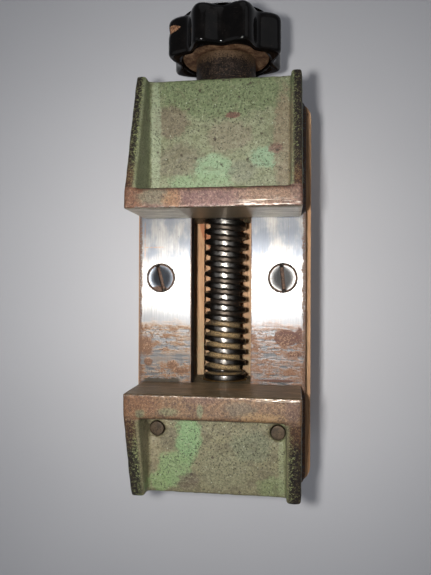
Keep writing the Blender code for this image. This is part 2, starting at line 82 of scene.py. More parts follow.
JAW_VOXEL = 0.42
TINY = 0.02
JOURNAL_R = 6.0
TAIL_R = 5.7
TAIL_STEP_Y = -59.9
NOSE_R = 5.0
ROOT_R = 5.8
PITCH = 4.0
THREAD_PHASE = 0.62
THREAD_LOW = FIXED_FACE + 1.9
THREAD_HIGH = 74.0
CREST_FLAT_HALF = 0.78
FLANK_RUN = 0.62
KNOB_R = 22.4
KNOB_LOBES = 8
KNOB_LOBE_TURN = 111.0
KNOB_FLUTE = 3.8
KNOB_BORE = 9.3
CHIP_Y = 97.0
CHIP_RISE = 9.9
LAMP_GAIN = 1.3
KEY_POWER = 0.15
SOFT_POWER = 1.7
SKY_POWER = 0.13


# ---- colour and node trees ----


def tint(red, green, blue):
    """The linear albedo that looks like this display colour, 0 to 255, under the lamp."""
    out = []
    for value in (red, green, blue):
        share = value / 255
        light = share / 12.92 if share <= 0.04045 else ((share + 0.055) / 1.055) ** 2.4
        out.append(light / LAMP_GAIN)
    return tuple(out)


class Value:
    """A number that varies over a surface, with arithmetic that becomes Math nodes."""

    def __init__(self, surface, socket):
        self.surface = surface
        self.socket = socket

    def __add__(self, other):
        return self.surface.math("ADD", self, other)

    def __sub__(self, other):
        return self.surface.math("SUBTRACT", self, other)

    def __rsub__(self, other):
        return self.surface.math("SUBTRACT", other, self)

    def __mul__(self, other):
        return self.surface.math("MULTIPLY", self, other)

    __radd__ = __add__
    __rmul__ = __mul__

    def size(self):
        return self.surface.math("ABSOLUTE", self, 0.0)

    def most(self, other):
        return self.surface.math("MAXIMUM", self, other)

    def least(self, other):
        return self.surface.math("MINIMUM", self, other)

    def power(self, other):
        return self.surface.math("POWER", self, other)

    def step(self, start, end):
        """0 at start and before, 1 at end and past it, smooth between; start may be above end."""
        inputs = {"Value": self, "From Min": start, "From Max": end}
        node = self.surface.add("ShaderNodeMapRange", inputs)
        node.interpolation_type = "SMOOTHSTEP"
        return Value(self.surface, node.outputs["Result"])

    def band(self, low, high, soft):
        return self.step(low - soft, low + soft) * self.step(high + soft, high - soft)


class Surface:
    """One material. Positions are object coordinates in millimetres."""

    def __init__(self, name):
        self.material = bpy.data.materials.new(name)
        self.material.use_nodes = True
        self.tree = self.material.node_tree
        self.shader = self.tree.nodes["Principled BSDF"]
        coordinates = self.add("ShaderNodeTexCoord")
        self.place = self.vector("MULTIPLY", coordinates.outputs["Object"], (1000, 1000, 1000))
        self.x, self.y, self.z = self.parts(self.place)
        self.up = self.parts(coordinates.outputs["Normal"])[2]
        self.colour = None

    def add(self, kind, inputs=None):
        """A node, with values or links for some of its sockets."""
        node = self.tree.nodes.new(kind)
        for name, value in (inputs or {}).items():
            self.plug(node.inputs[name], value)
        return node

    def plug(self, socket, value):
        if isinstance(value, Value):
            value = value.socket
        if isinstance(value, bpy.types.NodeSocket):
            self.tree.links.new(value, socket)
        elif isinstance(value, tuple) and socket.type == "RGBA":
            socket.default_value = (*value, 1)
        else:
            socket.default_value = value

    def parts(self, vector):
        node = self.add("ShaderNodeSeparateXYZ", {"Vector": vector})
        return [Value(self, node.outputs[i]) for i in range(3)]

    def vector(self, operation, *values):
        node = self.add("ShaderNodeVectorMath")
        node.operation = operation
        for socket, value in zip(node.inputs, values):
            self.plug(socket, value)
        return node.outputs["Vector"]

    def math(self, operation, first, second):
        node = self.add("ShaderNodeMath", {0: first, 1: second})
        node.operation = operation
        return Value(self, node.outputs[0])

    def spread(self, size, stretch, seed):
        factors = tuple(1 / (size * s) for s in stretch)
        return self.vector("MULTIPLY_ADD", self.place, factors, (seed * 7.3, seed * 3.1, seed * 5.7))

    def noise(self, size, seed, detail=3.0, rough=0.55, stretch=(1, 1, 1)):
        """Cloudy noise from about 0.2 to 0.8, with features of a size in millimetres."""
        place = self.spread(size, stretch, seed)
        inputs = {"Vector": place, "Scale": 1.0, "Detail": detail, "Roughness": rough}
        return Value(self, self.add("ShaderNodeTexNoise", inputs).outputs[0])

    def cells(self, size, seed, stretch=(1, 1, 1)):
        """The distance to the nearest of scattered points, 0 at each point."""
        inputs = {"Vector": self.spread(size, stretch, seed), "Scale": 1.0}
        return Value(self, self.add("ShaderNodeTexVoronoi", inputs).outputs["Distance"])

    def mark(self, name):
        """A number that the mesh stores at its points."""
        node = self.add("ShaderNodeAttribute")
        node.attribute_name = name
        return Value(self, node.outputs["Fac"])

    def mix(self, share, first, second):
        node = self.add("ShaderNodeMix")
        node.data_type = "RGBA"
        self.plug(node.inputs[0], share)
        self.plug(node.inputs[6], first)
        self.plug(node.inputs[7], second)
        return node.outputs[2]

    def blot(self, across, along, seed, wobble=0.7, edge=0.25):
        """An irregular patch: across and along are (value, centre, radius)."""
        u = (across[0] - across[1]) * (1 / across[2])
        v = (along[0] - along[1]) * (1 / along[2])
        reach = (u * u + v * v).power(0.5)
        ragged = reach + (self.noise(min(across[2], along[2]) * 0.6, seed, 6.0, 0.72) - 0.5) * wobble * 2
        return ragged.step(1 + edge, 1 - edge)

    def between(self, share, low, high):
        return self.mix(share, tint(*low), tint(*high))

    def coat(self, share, *shade):
        """Lay a display colour, or one from mix or tint, over what is there."""
        top = tint(*shade) if len(shade) == 3 else shade[0]
        self.colour = self.mix(share, self.colour, top)

    def finish(self, roughness, metallic, height, depth):
        """Height runs from 0 to 1 over a depth in millimetres."""
        self.plug(self.shader.inputs["Base Color"], self.colour)
        self.plug(self.shader.inputs["Roughness"], roughness)
        self.plug(self.shader.inputs["Metallic"], metallic)
        bump = self.add("ShaderNodeBump", {"Strength": 1.0, "Distance": depth * MM, "Height": height})
        self.plug(self.shader.inputs["Normal"], bump.outputs["Normal"])
        return self.material


# ---- materials ----


def wood():
    s = Surface("beech")
    grain = s.noise(0.5, 1, 4.0, 0.6, stretch=(1, 24, 1))
    flecks = s.cells(0.9, 2, stretch=(0.6, 5, 1)).step(0.32, 0.12)
    rings = s.noise(3.0, 3, 3.0, 0.5, stretch=(1, 14, 1.6))
    end = s.y.size().step(WOOD_END - 0.4, WOOD_END - 0.1)
    dust = s.noise(2.0, 4, 5.0, 0.7)
    groove = s.z.step(PLATE_LOW - 1.0, PLATE_LOW - 3.0) * s.x.size().step(17.9, 17.2)
    s.colour = s.between(grain.step(0.3, 0.7), (168, 126, 86), (212, 171, 129))
    s.coat(rings.step(0.4, 0.62) * 0.45, 176, 122, 76)
    s.coat(flecks * 0.45, 120, 80, 48)
    outside = 1.0 - groove
    grime = (s.noise(14.0, 5, 6.0, 0.65, (1, 2.5, 1)) - 0.1 * s.z.step(12.0, 0.0)).step(0.5, 0.36)
    s.coat(grime * outside * 0.45, 104, 80, 56)
    s.coat(end * 0.45, 120, 82, 52)
    dusty = s.y.step(-6.0, -18.0) * dust.step(0.3, 0.62) * groove
    sand = s.between(dust.step(0.4, 0.6), (112, 94, 66), (168, 146, 108))
    s.coat(dusty * 0.75, sand)
    stain = s.blot((s.x + s.y * 0.34, -1.3, 1.3), (s.y, 22.0, 7.0), 6, 0.35, 0.3)
    s.coat(stain * s.z.band(36.0, 43.0, 0.3) * 0.8, 158, 84, 34)
    dents = s.cells(7.0, 7).step(0.1, 0.04) * outside
    s.coat(dents * 0.5, 88, 60, 40)
    height = grain * 0.5 + rings * 0.3 + (1.0 - flecks) * 0.3 + (1.0 - dents) * 0.6
    return s.finish(0.55 + 0.25 * grain, 0.0, height, 0.09)


def grain_along_y(surface, amount):
    """Grinding marks along Y, which spread a highlight across X."""
    surface.shader.inputs["Anisotropic"].default_value = amount
    across = surface.add("ShaderNodeCombineXYZ", {"X": 1.0})
    surface.plug(surface.shader.inputs["Tangent"], across.outputs["Vector"])


class PlateSurface(Surface):
    """The noises that a ground plate's finishes share; side is -1 or 1."""

    def __init__(self, side):
        super().__init__("ground_plate_left" if side < 0 else "ground_plate_right")
        self.side = side
        self.grain = self.noise(0.16, 1, 4.0, 0.6, stretch=(1, 60, 1))
        self.lines = self.noise(0.6, 2, 3.0, 0.6, stretch=(1, 40, 1))
        self.broad = self.noise(7.0, 3, 4.0, 0.6, stretch=(1, 2, 1))
        self.blotch = self.noise(1.9, 4, 6.0, 0.7, stretch=(1.5, 1, 1))
        self.speck = self.noise(0.55, 5, 4.0, 0.75)
        self.streaks = self.noise(1.1, 6, 5.0, 0.7, stretch=(7, 1, 1))


# Rust patches by plate: (x, radius), (y, radius), seed, and for some the wobble and edge.
PLATE_PATCHES = {
    -1: [
        ((-27.8, 3.2), (-19.6, 3.6), 11), ((-17.6, 2.0), (-26.4, 1.6), 12),
        ((-14.5, 3.4), (-28.4, 1.1), 13), ((-26.6, 1.5), (-25.4, 1.5), 14),
    ],
    1: [
        ((23.2, 4.2), (-16.1, 2.9), 15, 0.25, 0.06), ((27.8, 1.3), (-15.6, 3.0), 16),
        ((26.2, 2.6), (-21.9, 0.9), 17), ((20.0, 7.0), (-31.3, 0.5), 18),
    ],
}


def ground_steel(s):
    """Bare steel with painted shade towards both ends, so that its colour is lightest in the middle of
    the opening, under the lamp's highlight.
    """
    s.colour = s.between(s.grain.step(0.3, 0.7), (132, 129, 125), (168, 166, 162))
    # Painted shade: a darker bluish grey towards the moving jaw, where the lamp's highlight falls off.
    cool = s.y.step(9.0, 14.0) * s.broad.step(0.35, 0.6)
    s.coat(cool * 0.85, 108, 113, 122)
    # Painted shade towards the fixed jaw, where the lamp's highlight falls off.
    painted_shade_toward_fixed_jaw = (s.y + (s.lines - 0.5) * 8.0).step(-2.0, -10.0)
    s.coat(painted_shade_toward_fixed_jaw * 0.75, 96, 98, 102)
    worn = (s.lines * 0.6 + s.speck * 0.4).step(0.56, 0.68)
    worn = worn * (s.y.step(7.0, 12.0) if s.side > 0 else 0.4)
    s.coat(worn * 0.6, 128, 116, 100)


def rusty_end(s):
    """Rust towards the fixed jaw, thinner on a cleaner band; returns how rusty it is."""
    zone = (s.y + (s.broad - 0.5) * 9.0 + (s.blotch - 0.5) * 9.0).step(-10.0, -14.0)
    clean = (s.y + (s.broad - 0.5) * 4.0).band(-25.5, -22.0, 1.2) * (1.0 if s.side < 0 else 0.2)
    zone = zone * (1.0 - 0.65 * clean)
    veil = zone * (s.blotch * 0.4 + s.streaks * 0.6).step(0.42, 0.56)
    s.coat(veil * 0.6, tint(176, 146, 114) if s.side < 0 else tint(166, 130, 106))
    flakes = s.blotch * 0.45 + s.speck * 0.3 + s.streaks * 0.25 + zone * 0.07
    flakes = flakes.step(0.56, 0.61) * zone
    s.coat(flakes * 0.75, 138, 96, 66)
    dark = (s.speck + zone * 0.05).step(0.65, 0.7) * zone
    s.coat(dark, 66, 44, 32)
    return (veil * 0.65).most(flakes)


def bent_line(s):
    """A thin bent line of rust."""
    line = s.y.band(15.9, 16.3, 0.15) * s.x.band(-28.0, -21.0, 0.8)
    line = line.most(s.x.band(-28.1, -27.7, 0.15) * s.y.band(10.5, 25.0, 1.0))
    line = line * s.speck.step(0.4, 0.55)
    s.coat(line * 0.55, 164, 120, 84)


def rust_patches(s, rust):
    ink = tint(112, 78, 54) if s.side < 0 else tint(100, 66, 54)
    mottled = s.mix((s.speck * 0.6 + s.blotch * 0.4).step(0.5, 0.6), ink, tint(166, 134, 108))
    for across, along, *shape in PLATE_PATCHES[s.side]:
        patch = s.blot((s.x, *across), (s.y, *along), *shape)
        s.coat(patch * 0.9, mottled)
        rust = rust.most(patch * 0.8)
    return rust


def crusted_edges(s, rust):
    """Crust along the outer and inner edges, and painted shade on the inner side face."""
    outer = (s.x.size() + (s.blotch - 0.5) * 3.2).step(PLATE_OUTER - 1.3, PLATE_OUTER - 0.7)
    inner = (s.x.size() + (s.speck - 0.5) * 1.2).step(PLATE_INNER + 0.45, PLATE_INNER + 0.15)
    crust = (outer * s.speck.step(0.36, 0.5)).most(inner * 0.7).most(s.up.step(0.75, 0.3) * 0.9)
    s.coat(crust * 0.85, 108, 76, 54)
    # Painted shade: the plate's inner side face, down in the channel, is made near black.
    painted_inner_side_shade = s.x.size().step(PLATE_INNER + 0.25, PLATE_INNER + 0.1)
    painted_inner_side_shade = painted_inner_side_shade * s.z.step(BED_TOP - 0.2, BED_TOP - 0.5)
    s.coat(painted_inner_side_shade * 0.95, 36, 28, 20)
    return rust.most(crust)


def plate(side):
    s = PlateSurface(side)
    ground_steel(s)
    rust = rusty_end(s)
    if side < 0:
        bent_line(s)
    rust = crusted_edges(s, rust_patches(s, rust))
    if side < 0:
        grease = (s.y + (s.noise(2.4, 19, 5.0, 0.7) - 0.5) * 3.0).step(-31.0, -31.6)
        grease = grease * s.x.band(-28.0, -15.0, 0.6)
        s.coat(grease * 0.9, 58, 50, 36)
        rust = rust.most(grease)
    ticks = s.cells(3.4, 20).step(0.05, 0.025)
    s.coat(ticks * 0.9, 60, 50, 42)
    roughness = (0.33 + 0.12 * s.lines + 0.3 * rust).least(0.85)
    grain_along_y(s, 0.75)
    height = s.grain * 0.12 + s.lines * 0.1 + rust * (0.3 + 0.5 * s.speck)
    return s.finish(roughness, 1.0 - rust.least(1.0) * 0.72, height, 0.06)


def screw_metal(name, bright, centre):
    """Slotted heads: bright tops, darker brown in the slot, and brown grime round the rim and at one
    side.
    """
    s = Surface(name)
    grain = s.noise(0.3, 1, 3.0, 0.6, stretch=(1, 14, 1))
    speck = s.noise(0.6, 2, 5.0, 0.75)
    radius = ((s.x - centre.x) * (s.x - centre.x) + (s.y - centre.y) * (s.y - centre.y)).power(0.5)
    s.colour = s.mix(grain.step(0.3, 0.7), tint(*bright), tint(*(shade + 26 for shade in bright)))
    rim = (radius + (speck - 0.5) * 0.5).step(4.35, 4.6)
    # Darker brown below the head's top, in the slot.
    depth = s.z.step(BED_TOP - 0.12, BED_TOP - 0.5)
    chips = speck.step(0.56, 0.62) * radius.step(0.8, 3.2)
    low = s.blot((s.x, centre.x - 0.6, 3.4), (s.y, centre.y - 4.2, 1.3), 5)
    low = low * (1.0 if centre.x < 0 else 0.0)
    dirt_and_shade = rim.most(depth).most(chips * 0.85).most(low)
    s.coat(dirt_and_shade, s.between(speck.step(0.4, 0.6), (58, 40, 30), (112, 84, 66)))
    grain_along_y(s, 0.6)
    return s.finish(0.42 + 0.3 * dirt_and_shade, 1.0 - 0.75 * dirt_and_shade, speck * 0.5 + grain * 0.3, 0.05)


class JawSurface(Surface):
    """The numbers that a jaw's finishes share; depth runs back from its gripping face."""

    def __init__(self, jaw, marks):
        super().__init__(jaw["node"] + "_finish")
        self.marks = marks
        self.rail = jaw["rail"]
        self.rib_from = JAW_HALF - jaw["rib"]
        self.depth = (self.y - jaw["face"]) * jaw["back"]
        self.edge, self.hollow = self.mark("edge"), self.mark("hollow")
        self.cloud = self.noise(3.0, 2, 5.0, 0.65)
        self.fine = self.noise(0.8, 3, 5.0, 0.7)
        self.grit = self.noise(0.34, 4, 3.0, 0.8)
        self.pits = self.cells(0.95, 5)
        self.mottle = self.fine * 0.55 + self.grit * 0.45

    def patch(self, across, along, *shape):
        return self.blot((self.x, *across), (self.depth, *along), *shape)


def chipped_paint(s):
    """Green paint; returns where it has small spots and bigger chips."""
    s.colour = s.between(s.cloud.step(0.35, 0.65), *s.marks["paint"])
    for shade, strength, across, along in s.marks["patches"]:
        seed = 20 + abs(across[0]) + along[0] * 0.3
        patch = s.patch(across, along, seed, 0.8, 0.22)
        s.coat(patch * strength, *shade)
    s.coat(s.mottle.step(0.52, 0.6) * 0.5, 168, 170, 136)
    s.coat(s.mottle.step(0.49, 0.41) * 0.8, 72, 70, 48)
    s.coat(s.cloud.step(0.46, 0.36) * 0.35, 104, 96, 72)
    heavy = s.patch(*s.marks["speckled"], 9, 0.5, 0.6)
    ragged = (s.grit - 0.5) * 0.9
    spots = (s.pits + ragged).step(0.32, 0.18) * (s.cloud + heavy * 0.2).step(0.46, 0.6)
    s.coat(spots * 0.8, 50, 44, 30)
    chips = (s.cells(4.6, 6) + ragged * 0.3).step(0.14, 0.08)
    s.coat(chips * 0.8, 66, 52, 42)
    # Painted glints: small light spots that stand in for highlights on the paint's grain.
    glints = (s.cells(2.3, 7) + ragged * 0.3).step(0.1, 0.05) * 0.7
    s.coat(glints, 198, 204, 180)
    # Painted shade: darker olive in the casting's hollows.
    s.coat(s.hollow.step(0.15, 0.8) * 0.55, 70, 66, 42)
    return spots, chips


def rib_grime(s):
    """Dark ribs and worn edges with green flecks; returns where it is dark."""
    ribs = (s.x.size() + (s.fine - 0.5) * 1.8).step(s.rib_from + 0.2, s.rib_from + 1.4)
    ribs = ribs * s.up.step(0.25, 0.6)
    inner = s.x.size().step(JAW_HALF - 1.0, s.rib_from + 0.4) * 0.05 - s.x.step(0.0, 1.0) * 0.02
    flecks = (s.grit * 0.5 + s.fine * 0.5 + inner).step(0.545, 0.585)
    grime = s.between(s.mottle.step(0.46, 0.56), (22, 17, 12), (66, 50, 36))
    near_rail = (s.depth + (s.cloud - 0.5) * 16.0).step(s.rail + 12.0, s.rail + 2.0)
    brown = s.between(s.mottle.step(0.45, 0.57), (70, 46, 32), (124, 86, 60))
    grime = s.mix(near_rail * 0.7, grime, brown)
    grime = s.mix(flecks * (1.0 - near_rail * 0.6), grime, tint(150, 158, 108))
    worn = s.edge.step(0.3, 0.85) * (s.cloud + s.fine * 0.4).step(0.5, 0.72)
    dark = ribs.most(worn * s.z.step(BED_TOP, BED_TOP + 2.0) * 0.85)
    s.coat(dark, grime)
    sides = s.x.size().step(JAW_HALF - 1.0, JAW_HALF - 0.6) * (1.0 - s.up.size().step(0.2, 0.6))
    scuffs = (s.cloud * 0.6 + s.fine * 0.4 + s.edge * 0.2).step(0.5, 0.62)
    s.coat(sides * scuffs * 0.8, 70, 56, 42)
    return dark


def bare_rail(s):
    """The rusty rail, with painted shade on the panel behind it; returns where the rail is and where it
    is rubbed bright.
    """
    bare = (s.depth + (s.fine - 0.5) * 1.3).step(s.rail + 0.5, s.rail - 0.1)
    bare = bare * s.z.step(JAW_TOP - 1.8, JAW_TOP - 0.8)
    rust = s.between((s.cloud * 0.5 + s.fine * 0.5).step(0.36, 0.62), *s.marks["rail"])
    for shade, strength, across, along in s.marks["rail_patches"]:
        seed = 50 + abs(across[0]) + along[0]
        patch = s.patch(across, along, seed, 0.85, 0.35)
        rust = s.mix(patch * strength * 0.8, rust, tint(*shade))
    rust = s.mix(s.mottle.step(0.5, 0.42) * 0.75, rust, tint(88, 62, 48))
    rust = s.mix(s.mottle.step(0.53, 0.6) * 0.5, rust, tint(186, 156, 124))
    rust = s.mix(s.pits.step(0.26, 0.12) * s.cloud.step(0.44, 0.56) * 0.8, rust, tint(62, 44, 34))
    rust = s.mix(s.grit.step(0.57, 0.68) * 0.6, rust, tint(208, 184, 156))
    scratch = s.noise(0.5, 8, 4.0, 0.7, stretch=(24, 1, 1)).step(0.52, 0.6)
    scratch = scratch * s.patch(*s.marks["scratched"], 60, 0.4, 0.4)
    nicks = s.edge.step(0.35, 0.8) * s.depth.step(1.0, 0.4)
    shine = scratch.most(nicks * s.noise(1.4, 10, 4.0, 0.7).step(0.46, 0.58))
    rust = s.mix(shine * 0.85, rust, tint(226, 214, 198))
    rust = s.mix(0.42, rust, tint(22, 20, 16))
    s.coat(bare, rust)
    # Painted shade: a dark brown line on the panel just behind the rail's back edge.
    dirt_and_shade = (s.depth + (s.fine - 0.5) * 0.9).band(s.rail - 0.3, s.rail + 1.4, 0.25)
    dirt_and_shade = dirt_and_shade * s.z.step(JAW_TOP - 4.0, JAW_TOP - 2.5)
    dirt_and_shade = dirt_and_shade * s.x.size().step(s.rib_from + 0.2, s.rib_from - 1.2)
    s.coat(dirt_and_shade * 0.85, 40, 30, 20)
    return bare, shine


def ground_grip(s):
    """The dirty foot and the gripping face; returns where the face is and its grain."""
    under = s.z.step(BED_TOP + 0.6, BED_TOP + 0.2)
    tan = s.between(s.mottle.step(0.44, 0.56), (52, 42, 30), (104, 90, 66))
    s.coat(under * 0.9, tan)
    ground = s.noise(0.14, 11, 4.0, 0.65, stretch=(40, 1, 1))
    smear = s.noise(2.4, 12, 5.0, 0.7, stretch=(4, 1, 1))
    steel = s.between(ground.step(0.35, 0.65), *s.marks["grip"][:2])
    middle = s.x.size().step(12.2, 10.4) * s.marks["grip_middle"]
    steel = s.mix((smear.step(0.62, 0.42) * 0.5).most(middle), steel, tint(*s.marks["grip"][2]))
    if "gold" in s.marks:
        across, up = s.marks["gold"]
        gold = s.blot((s.x, *across), (s.z, *up), 61, 0.35, 0.2) * 0.9
        gold = gold * s.noise(0.3, 13, 3.0, 0.6, stretch=(12, 1, 1)).step(0.44, 0.6)
        steel = s.mix(gold, steel, tint(206, 148, 92))
    grip = s.depth.step(0.34, 0.2)
    s.coat(grip * (1.0 - under), steel)
    return grip, ground


def jaw_paint(jaw, marks):
    """Chipped light green paint, a bare rusty rail, grimy ribs and a ground gripping face."""
    s = JawSurface(jaw, marks)
    spots, chips = chipped_paint(s)
    dark = rib_grime(s)
    bare, shine = bare_rail(s)
    grip, ground = ground_grip(s)
    metallic = (bare * (0.3 + shine * 0.6)).most(grip * marks["grip_metal"]).most(dark * 0.25)
    roughness = 0.62 - 0.14 * s.fine - 0.16 * bare * (s.cloud * 0.8 + shine) - grip * 0.08
    height = s.fine * 0.42 + s.grit * 0.3 + (1.0 - spots) * 0.35 + (1.0 - chips) * 0.4
    height = height * (1.0 - 0.55 * bare) * (1.0 - 0.85 * grip) + ground * grip * 0.12
    return s.finish(roughness, metallic, height, 0.16)


# Colours are display colours. A patch is (colour, strength, (x, radius), (depth, radius)).
MOVING_MARKS = {
    "paint": ((120, 126, 92), (142, 146, 114)),
    "patches": [
        ((104, 122, 78), 0.75, (0.0, 24.0), (43.0, 8.5)),
        ((118, 104, 84), 0.85, (-17.5, 6.5), (33.0, 5.5)),
        ((116, 108, 86), 0.8, (-14.5, 8.5), (19.5, 6.0)),
        ((132, 118, 98), 0.6, (3.5, 8.0), (27.5, 5.5)),
        ((138, 168, 128), 0.85, (-2.0, 7.0), (16.5, 4.5)),
        ((138, 170, 134), 0.85, (16.5, 6.0), (20.0, 3.4)),
        ((134, 162, 118), 0.75, (-7.0, 11.0), (11.8, 3.0)),
        ((118, 120, 98), 0.75, (8.0, 4.5), (15.5, 3.8)),
        ((134, 116, 92), 0.8, (22.3, 3.6), (25.0, 18.0)),
        ((120, 84, 70), 0.85, (19.5, 2.4), (23.0, 1.8)),
        ((118, 76, 64), 0.95, (4.7, 2.6), (34.9, 1.1)),
        ((168, 182, 150), 0.5, (-22.5, 1.8), (28.0, 20.0)),
    ],
    "speckled": ((0.0, 14.0), (40.0, 11.0)),
    "rail": ((104, 72, 62), (152, 112, 96)),
    "rail_patches": [
        ((150, 96, 58), 0.8, (-26.0, 4.0), (3.6, 5.0)),
        ((134, 136, 108), 0.85, (-18.5, 5.4), (3.8, 2.6)),
        ((178, 128, 78), 0.8, (-12.5, 3.0), (2.8, 3.2)),
        ((128, 84, 86), 0.7, (-1.5, 8.5), (2.6, 3.0)),
        ((158, 122, 88), 0.7, (18.0, 8.0), (3.8, 2.4)),
        ((128, 150, 88), 0.9, (9.4, 3.0), (6.6, 0.6)),
    ],
    "scratched": ((18.5, 10.0), (1.7, 1.7)),
    "grip": ((208, 194, 168), (252, 246, 232), (140, 120, 92)),
    "grip_middle": 0.8,
    "grip_metal": 0.9,
}

FIXED_MARKS = {
    "paint": ((110, 102, 76), (134, 128, 96)),
    "patches": [
        ((150, 138, 108), 0.7, (-19.5, 4.5), (17.0, 12.0)),
        ((124, 160, 108), 0.9, (-9.8, 4.2), (17.0, 9.0)),
        ((128, 156, 104), 0.85, (-14.5, 5.6), (27.5, 5.6)),
        ((128, 156, 100), 0.75, (-19.5, 4.0), (32.5, 3.4)),
        ((104, 96, 74), 0.75, (-16.6, 3.0), (17.8, 4.0)),
        ((98, 84, 68), 0.75, (-9.5, 3.4), (32.0, 3.0)),
        ((130, 128, 98), 0.6, (3.0, 9.0), (27.0, 7.0)),
        ((108, 118, 92), 0.5, (12.0, 7.0), (19.5, 5.0)),
        ((120, 138, 88), 0.6, (19.0, 5.0), (32.5, 3.4)),
        ((150, 160, 118), 0.5, (22.2, 1.4), (24.0, 14.0)),
    ],
    "speckled": ((5.0, 14.0), (18.0, 11.0)),
    "rail": ((106, 78, 56), (160, 122, 86)),
    "rail_patches": [
        ((152, 96, 58), 0.6, (-24.0, 6.5), (3.2, 4.6)),
        ((138, 150, 112), 0.9, (-22.6, 1.6), (6.3, 1.3)),
        ((140, 150, 110), 0.8, (-13.6, 3.2), (5.4, 1.2)),
        ((142, 158, 120), 0.85, (-3.4, 1.0), (4.8, 2.2)),
        ((118, 82, 72), 0.7, (-2.5, 5.5), (1.4, 1.4)),
        ((122, 116, 96), 0.75, (9.5, 5.0), (4.0, 2.4)),
        ((190, 152, 100), 0.75, (15.5, 7.0), (6.4, 1.5)),
        ((112, 76, 72), 0.6, (25.5, 2.2), (3.0, 5.0)),
    ],
    "scratched": ((22.0, 7.0), (1.0, 1.0)),
    "grip": ((116, 96, 74), (190, 166, 132), (84, 68, 50)),
    "grip_middle": 0.0,
    "grip_metal": 0.7,
    "gold": ((4.6, 5.6), (76.6, 1.8)),
}


def spindle_metal():
    s = Surface("oiled_spindle")
    rise = s.z - AXIS_Z
    radius = (s.x * s.x + rise * rise).power(0.5)
    grain = s.noise(0.25, 1, 4.0, 0.6, stretch=(2, 1, 2))
    film = s.noise(2.6, 2, 5.0, 0.65)
    dust = s.noise(0.4, 3, 4.0, 0.75)
    root = radius.step(CREST_R - 0.5, ROOT_R + 0.7)
    s.colour = s.between(grain.step(0.3, 0.7), (104, 100, 96), (150, 146, 140))
    s.coat(film.step(0.5, 0.66) * 0.5, 70, 60, 52)
    s.coat(root * 0.7, 80, 66, 54)
    dusty = root * (s.y + (film - 0.5) * 6.0).step(-9.0, -13.5) * s.y.step(-34.0, -31.0)
    sand = s.between(dust.step(0.4, 0.6), (76, 60, 38), (184, 156, 110))
    s.coat(dusty * 0.92, sand)
    fluff = dust.step(0.6, 0.68) * s.y.step(0.0, -12.0) * 0.5
    s.coat(fluff, 150, 132, 98)
    dirt_and_shade = (root * 0.55).most(dusty)
    roughness = 0.24 + 0.1 * grain + 0.4 * dirt_and_shade
    return s.finish(roughness, 1.0 - 0.8 * dusty, grain * 0.3 + dust * dirt_and_shade, 0.06)


def bronze():
    s = Surface("dull_bronze")
    ring = s.noise(0.3, 1, 4.0, 0.6, stretch=(1, 0.4, 1))
    stain = s.noise(3.0, 2, 5.0, 0.65)
    s.colour = s.between(ring.step(0.3, 0.7), (150, 110, 56), (188, 148, 84))
    s.coat(stain.step(0.46, 0.62) * 0.75, 92, 64, 36)
    metallic = 1.0 - 0.4 * stain.step(0.5, 0.62)
    return s.finish(0.36 + 0.3 * stain.step(0.4, 0.6), metallic, ring, 0.03)


def dark_steel(name, shades, speckle=0.6, dusty_from=None):
    """Dark oxide with brown rust and grit; dusty_from is the Y past which tan dust gathers."""
    s = Surface(name)
    cloud = s.noise(2.2, 1, 5.0, 0.65)
    grit = s.noise(0.45, 2, 4.0, 0.8)
    s.colour = s.mix(cloud.step(0.35, 0.65), tint(*shades[0]), tint(*shades[1]))
    rusty = (cloud * 0.4 + grit * 0.6).step(0.5, 0.6) * speckle
    s.coat(rusty, *shades[2])
    pits = (s.cells(0.9, 3) + (grit - 0.5) * 0.8).step(0.3, 0.15)
    s.coat(pits * cloud.step(0.42, 0.55) * 0.9, 24, 19, 16)
    if dusty_from is not None:
        dust = (grit + s.y.step(dusty_from, dusty_from + 4.0) * 0.16).step(0.54, 0.64)
        s.coat(dust * 0.8, 134, 108, 82)
    return s.finish(0.5 + 0.3 * rusty, 0.65 - 0.5 * rusty, grit * 0.7 + cloud * 0.3, 0.1)


def knob_black():
    s = Surface("black_moulding")
    haze = s.noise(5.0, 1, 4.0, 0.6)
    specks = s.cells(1.5, 2).step(0.1, 0.04) * haze.step(0.46, 0.6)
    s.colour = s.between(haze.step(0.4, 0.7) * 0.6, (10, 8, 7), (24, 20, 18))
    chip = s.blot((s.y, CHIP_Y, 1.35), (s.z - AXIS_Z, CHIP_RISE, 1.9), 3, 0.5, 0.08)
    chip = chip * s.x.step(-14.0, -16.0)
    layers = s.noise(0.7, 4, 4.0, 0.7)
    s.coat(chip, s.between(layers.step(0.4, 0.6), (96, 52, 30), (206, 158, 120)))
    s.coat(specks * 0.7, 104, 88, 80)
    scuff = s.noise(0.3, 5, 4.0, 0.7, stretch=(6, 1, 2)).step(0.6, 0.7) * haze.step(0.5, 0.62)
    s.coat(scuff * 0.25, 96, 88, 82)
    roughness = 0.08 + 0.08 * haze + 0.4 * chip + 0.2 * scuff
    s.shader.inputs["Specular IOR Level"].default_value = 0.22
    return s.finish(roughness, 0.0, haze * 0.4 + (1.0 - specks) * 0.3 + layers * chip, 0.12)


def floor_paint():
    s = Surface("pale_floor")
    cloud = s.noise(180.0, 1, 3.0, 0.5)
    speck = s.noise(1.2, 2, 3.0, 0.6)
    s.colour = s.mix(cloud.step(0.3, 0.7), (0.58, 0.58, 0.60), (0.62, 0.62, 0.64))
    s.shader.inputs["Specular IOR Level"].default_value = 0.15
    return s.finish(0.8, 0.0, speck, 0.01)


# ---- shapes ----


def point(axis, along, first, second):
    """A point at a distance along an axis; the other two coordinates keep X, Y, Z order."""
    if axis == "X":
        place = (along, first, second)
    elif axis == "Y":
        place = (first, along, second)
    else:
        place = (first, second, along)
    return Vector(place) * MM


